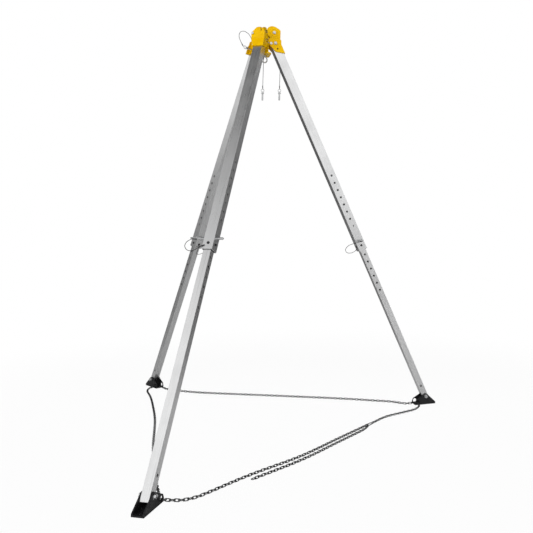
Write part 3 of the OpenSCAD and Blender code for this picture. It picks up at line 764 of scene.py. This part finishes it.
class TRIPOD_OT_stage(bpy.types.Operator):
    """Set the floor, the soft studio light and the camera"""
    bl_idname = "tripod.stage"
    bl_label = "Stage"

    def execute(self, context):
        self.floor()
        self.world()
        self.lamps()
        self.camera()
        context.scene.view_settings.view_transform = "Standard"
        return {"FINISHED"}

    def floor(self):
        """A round floor: a disc of rings whose radius grows by a power."""
        ring = FLOOR_R * (np.arange(1, FLOOR_RINGS + 1) / FLOOR_RINGS) ** FLOOR_POWER
        v = angles(FLOOR_SIDES)
        x, y = np.outer(ring, np.cos(v)), np.outer(ring, np.sin(v))
        verts = np.stack([x, y, np.full(x.shape, FLOOR_Z)], axis=2).reshape(-1, 3)
        faces = grid_faces(FLOOR_RINGS, FLOOR_SIDES, False).tolist() + [list(range(FLOOR_SIDES))]
        mesh = bpy.data.meshes.new("studio_floor")
        mesh.from_pydata(verts, [], faces)
        mesh.materials.append(self.floor_finish())
        floor = bpy.data.objects.new("studio_floor", mesh)
        bpy.context.scene.collection.objects.link(floor)

    def floor_finish(self):
        """To the camera the floor is almost clear, so that the white world shows with the tripod's
        shadow on it, and feet that fold below it stay in sight. Metal sees the far part behind the
        tripod so too. Its colour is darkened to the rear: painted shade for a studio lit from the
        front, which metal sees in reflection."""
        f = Finish("studio_floor").set(Roughness=0.9, Specular_IOR_Level=0.1)
        front = scaled(colours().floor)
        depth = f.dot(f.object, REAR)
        # painted shade: the floor's colour falls to 0.35 of itself towards the rear, for light
        # falling off behind the tripod
        f.into("Base Color", f.mix(f.span(depth, 0.2, 1.4), front, scaled(front, 0.35)))
        away = f.vector("LENGTH", f.object)["Value"]
        rear = f.math("DIVIDE", depth, away)
        glossy = f.times(f.span(away, 3.0, 5.0), f.span(rear, *REAR_EDGE))
        share = f.times(f.span(away, 1.4, 3.6, 0.965, 1.0), f.seen(glossy))
        clear = f.add("BsdfTransparent").outputs[0]
        mixed = f.add("MixShader", {0: share, 1: f.shader.outputs[0], 2: clear}).outputs[0]
        f.feed(f.nodes["Material Output"].inputs["Surface"], mixed)
        return f.material

    def world(self):
        """Studio walls: bright to the front left, dim behind the tripod, overhead and low on the
        left. The camera sees white, and metal sees that white in the part of the wall that stands
        behind the tripod."""
        world = bpy.data.worlds.new("studio")
        bpy.context.scene.world = world
        world.use_nodes = True
        g = Graph(world.node_tree)
        way = g.add("TexCoord").outputs["Generated"]
        up = g.dot(way, (0.0, 0.0, 1.0))
        flat = g.math("MAXIMUM", g.math("SUBTRACT", 1.0, g.times(up, up)), 0.0001)
        level = g.math("SQRT", flat)

        def toward(direction):
            return g.math("DIVIDE", g.dot(way, direction), level)

        bright = g.span(toward(FRONT_LEFT), -0.35, 0.35, 0.10, 1.0)
        overhead = g.span(up, 0.56, 0.89, 1.0, 0.03, "LINEAR")
        dusk = g.times(g.span(toward(LEFT), 0.5, 0.95, 0.0, 0.7), g.span(up, 0.05, 0.30, 1.0, 0.0))
        walls = g.times(g.times(bright, overhead), g.math("SUBTRACT", 1.0, dusk))
        behind = g.times(g.span(toward(REAR), *REAR_EDGE), g.span(up, 0.30, 0.42, 1.0, 0.0))
        light = g.span(g.seen(behind), 0.0, 1.0, walls, 1.0, "LINEAR")
        background = g.nodes["Background"].inputs
        g.feed(background["Strength"], light)
        g.feed(background["Color"], (1.0, 1.0, 1.0, 1.0))

    def lamps(self):
        """A large soft key above and to the left of the camera, a low fill from the right, and one
        from the rear."""
        for name, place, aim, size, power in LAMPS:
            lamp = bpy.data.lights.new(name, "AREA")
            lamp.size, lamp.energy = size, power
            obj = bpy.data.objects.new(name, lamp)
            obj.location = place
            obj.visible_glossy = False
            obj.rotation_mode = "QUATERNION"
            obj.rotation_quaternion = Vector(np.subtract(aim, place)).to_track_quat("-Z", "Y")
            bpy.context.scene.collection.objects.link(obj)

    def camera(self):
        """The photograph's camera: turned, tipped and rolled a little, with its frame shifted to
        the left and down."""
        azimuth, tip, roll = (math.radians(a) for a in CAMERA_ANGLES)
        ahead = np.array([math.sin(azimuth) * math.cos(tip), math.cos(azimuth) * math.cos(tip),
                          -math.sin(tip)])
        level = np.array([math.cos(azimuth), -math.sin(azimuth), 0.0])
        rise = np.cross(level, ahead)
        right = math.cos(roll) * level + math.sin(roll) * rise
        up = -math.sin(roll) * level + math.cos(roll) * rise
        data = bpy.data.cameras.new("camera")
        data.lens, data.sensor_width = CAMERA_LENS, CAMERA_SENSOR
        data.shift_x, data.shift_y = CAMERA_SHIFT
        camera = bpy.data.objects.new("camera", data)
        matrix = np.eye(4)
        matrix[:3, :3] = np.stack([right, up, -ahead], axis=1)
        matrix[:3, 3] = CAMERA_PLACE
        camera.matrix_world = Matrix(matrix.tolist())
        bpy.context.scene.collection.objects.link(camera)
        bpy.context.scene.camera = camera


class TRIPOD_PT_panel(bpy.types.Panel):
    """Lists the tripod's colours, sizes and steps"""
    bl_label = "Rescue tripod"
    bl_idname = "TRIPOD_PT_panel"
    bl_space_type = "VIEW_3D"
    bl_region_type = "UI"
    bl_category = "Tripod"

    def draw(self, context):
        for group in (colours(), sizes()):
            for key in group.__annotations__:
                self.layout.prop(group, key)
        for step in STEPS:
            self.layout.operator(step.bl_idname)


STEPS = (TRIPOD_OT_finishes, TRIPOD_OT_chain, TRIPOD_OT_lanyards, TRIPOD_OT_stage)
CLASSES = (TripodColours, TripodSizes, *STEPS, TRIPOD_PT_panel)


def register():
    for cls in CLASSES:
        bpy.utils.register_class(cls)
    bpy.types.Scene.tripod_colours = bpy.props.PointerProperty(type=TripodColours)
    bpy.types.Scene.tripod_sizes = bpy.props.PointerProperty(type=TripodSizes)


def unregister():
    del bpy.types.Scene.tripod_sizes, bpy.types.Scene.tripod_colours
    for cls in reversed(CLASSES):
        bpy.utils.unregister_class(cls)


def main():
    register()
    bpy.ops.tripod.finishes()
    bpy.ops.tripod.chain()
    bpy.ops.tripod.lanyards()
    bpy.ops.tripod.stage()


if __name__ == "__main__":
    main()
